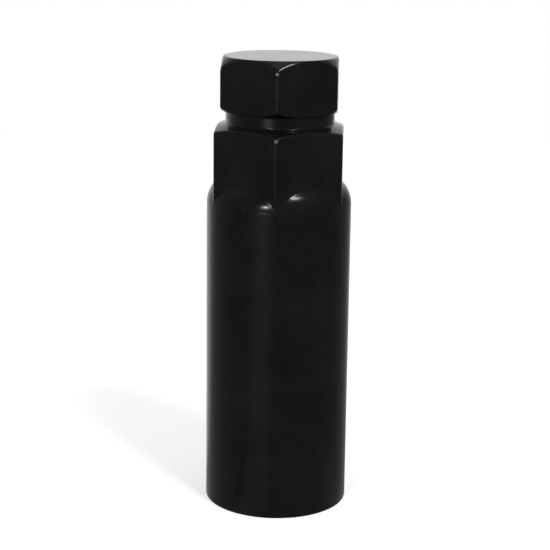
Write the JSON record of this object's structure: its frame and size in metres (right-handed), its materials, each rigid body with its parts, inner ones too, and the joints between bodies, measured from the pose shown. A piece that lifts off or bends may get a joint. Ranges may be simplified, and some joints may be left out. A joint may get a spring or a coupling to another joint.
{
  "type": "locking wheel nut key",
  "caption": "One-piece black coated steel key with two stepped hexagons over a round sleeve, and a blind splined socket in its open end.",
  "frame": {"origin": "centre of the open rim, on the plane the key stands on", "axes": "+Z along the key's axis, from the open rim to the flat head; both hexagons have a corner towards -Y"},
  "size_m": [0.0242, 0.0242, 0.076],
  "materials": {
    "black_coated_steel": "thin near-black semi-gloss coating over turned and forged steel, bright only in grazing reflections and along its edges"
  },
  "bodies": {
    "root": {"key_body": "black_coated_steel"}
  },
  "joints": []
}
